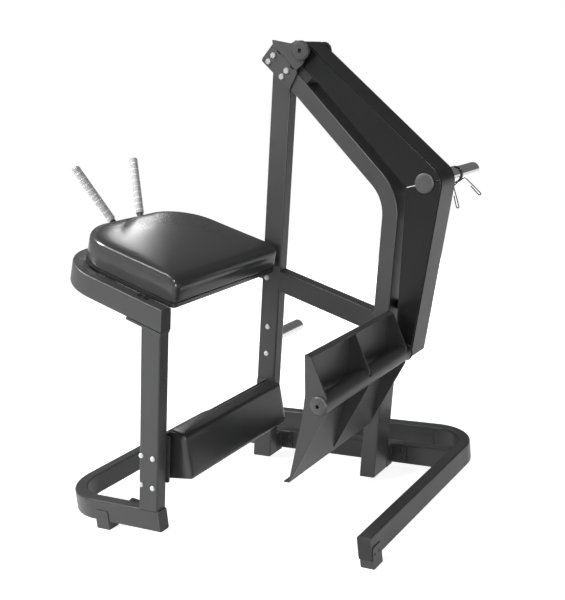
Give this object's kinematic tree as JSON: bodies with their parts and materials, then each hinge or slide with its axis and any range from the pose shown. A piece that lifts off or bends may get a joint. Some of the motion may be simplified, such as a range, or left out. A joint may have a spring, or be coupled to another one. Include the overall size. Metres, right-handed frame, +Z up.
{
  "type": "glute machine",
  "caption": "Plate-loaded rear-kick machine: bent base tube, leaning posts, sloping torso pad with two handles, knee pad, and a cranked arm that swings a hinged foot plate.",
  "frame": {"origin": "floor centre of the bounding box", "axes": "+X the way the foot is kicked, +Y across the machine to the weight horn, +Z up"},
  "size_m": [1.3171, 1.0796, 1.593],
  "materials": {
    "frame_paint": "satin charcoal powder coat",
    "arm_paint": "satin black paint",
    "chrome": "polished plate",
    "dark_steel": "blackened steel",
    "rubber": "matt black",
    "grip_grey": "satin, ringed",
    "vinyl": "semi-matt upholstery vinyl",
    "plastic": "moulded black",
    "board": "black covered board",
    "cap_grey": "glossy grey"
  },
  "bodies": {
    "frame": {"base_tube": "frame_paint", "cross_beam": "frame_paint", "foot_near_left": "frame_paint", "foot_near_right": "frame_paint", "foot_far_left": "frame_paint", "foot_far_right": "frame_paint", "post_left": "frame_paint", "post_flange": "frame_paint", "pad_frame": "frame_paint", "pad_strap_head": "frame_paint", "pad_strap_tail": "frame_paint", "handle_left": "frame_paint", "handle_right": "frame_paint", "upright": "frame_paint", "upright_foot": "frame_paint", "column_foot": "frame_paint", "bent_column": "frame_paint", "upper_beam": "frame_paint", "beam_flange": "frame_paint", "gusset_near": "frame_paint", "gusset_far": "frame_paint", "boss_near": "frame_paint", "boss_far": "frame_paint", "pivot_cap_near": "frame_paint", "pivot_cap_far": "frame_paint", "closing_block": "frame_paint", "knee_back_plate": "frame_paint", "knee_end_near": "frame_paint", "knee_end_far": "frame_paint", "storage_horn": "chrome", "upright_screw": "chrome", "horn_screw_high": "chrome", "horn_screw_low": "chrome", "knee_bolt_1": "chrome", "knee_bolt_2": "chrome", "knee_bolt_3": "chrome", "knee_bolt_4": "chrome", "gusset_bolt_1": "chrome", "gusset_bolt_2": "chrome", "gusset_bolt_3": "chrome", "gusset_bolt_4": "chrome", "post_bolt_1": "dark_steel", "post_bolt_2": "dark_steel", "pivot_shaft": "dark_steel", "bumper": "rubber", "grip_left": "grip_grey", "grip_right": "grip_grey", "torso_pad": "vinyl", "knee_pad": "vinyl", "base_cap_left": "plastic", "base_cap_right": "plastic", "pad_frame_cap": "plastic", "torso_board": "board"},
    "arm": {"swing_arm": "arm_paint", "weight_horn": "chrome", "elbow_cap": "cap_grey", "foot_rod": "arm_paint", "rod_cap": "cap_grey"},
    "foot": {"foot_plate": "frame_paint"},
    "collar": {"spring_collar": "dark_steel"}
  },
  "joints": [
    {"name": "arm_swing", "type": "hinge", "parent": "frame", "child": "arm", "pos_m": [0.1639, 0.1626, 1.545], "axis": [0, -1, 0], "range_deg": [0, 48]},
    {"name": "foot_plate_tilt", "type": "hinge", "parent": "arm", "child": "foot", "pos_m": [0.4544, 0.1626, 0.5154], "axis": [0, 1, 0], "range_deg": [-15, 15]},
    {"name": "collar_slide", "type": "slide", "parent": "arm", "child": "collar", "axis": [0, 1, 0], "range_m": [-0.118, 0.15]}
  ]
}
